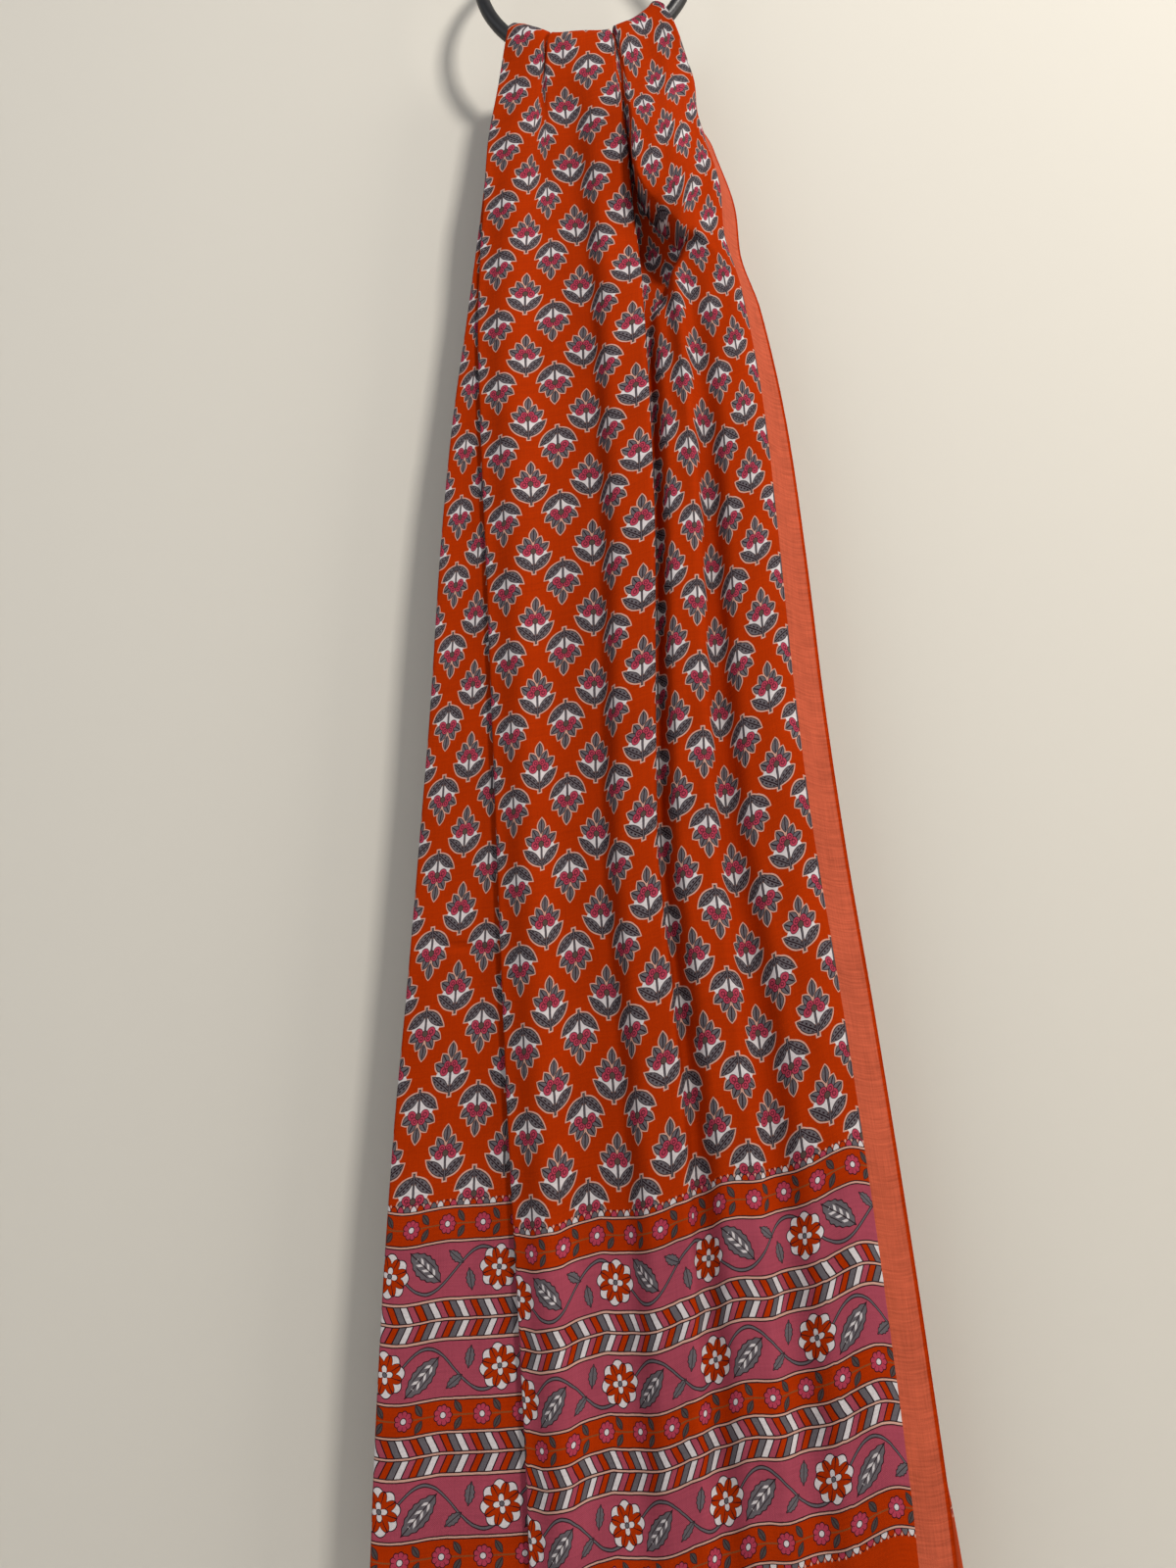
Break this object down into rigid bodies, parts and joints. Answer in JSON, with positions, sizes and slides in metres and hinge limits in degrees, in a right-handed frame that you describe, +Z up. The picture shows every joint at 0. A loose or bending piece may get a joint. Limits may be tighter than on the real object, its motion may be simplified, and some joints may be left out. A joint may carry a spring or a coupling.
{
  "type": "dupatta stole on a wall ring",
  "caption": "Long block printed cotton dupatta stole with woven selvedge bands, folded lengthwise and hung over a black wall ring on its post and plate.",
  "frame": {"origin": "centre of the wall plate's back face, on the wall", "axes": "+Y into the wall, +Z up, +X to the right of somebody who faces the wall"},
  "size_m": [0.3478, 0.0913, 1.3613],
  "materials": {
    "printed_cotton": "thin plain-woven cotton, orange ground with block printed sprigs and flower borders, matt",
    "selvedge_cotton": "thin cotton woven salmon with slubs, matt",
    "black_metal": "black satin coat"
  },
  "bodies": {
    "root": {"front_panel": "printed_cotton", "front_tuck": "printed_cotton", "front_band_a": "selvedge_cotton", "front_band_b": "selvedge_cotton", "front_hem_panel": "printed_cotton", "front_hem_tuck": "printed_cotton", "back_panel": "printed_cotton", "back_tuck": "printed_cotton", "back_band_a": "selvedge_cotton", "back_band_b": "selvedge_cotton", "back_hem_panel": "printed_cotton", "back_hem_tuck": "printed_cotton", "wrap_panel": "printed_cotton", "wrap_tuck": "printed_cotton", "wrap_band_a": "selvedge_cotton", "wrap_band_b": "selvedge_cotton", "ring": "black_metal", "post": "black_metal", "wall_plate": "black_metal"}
  },
  "joints": []
}
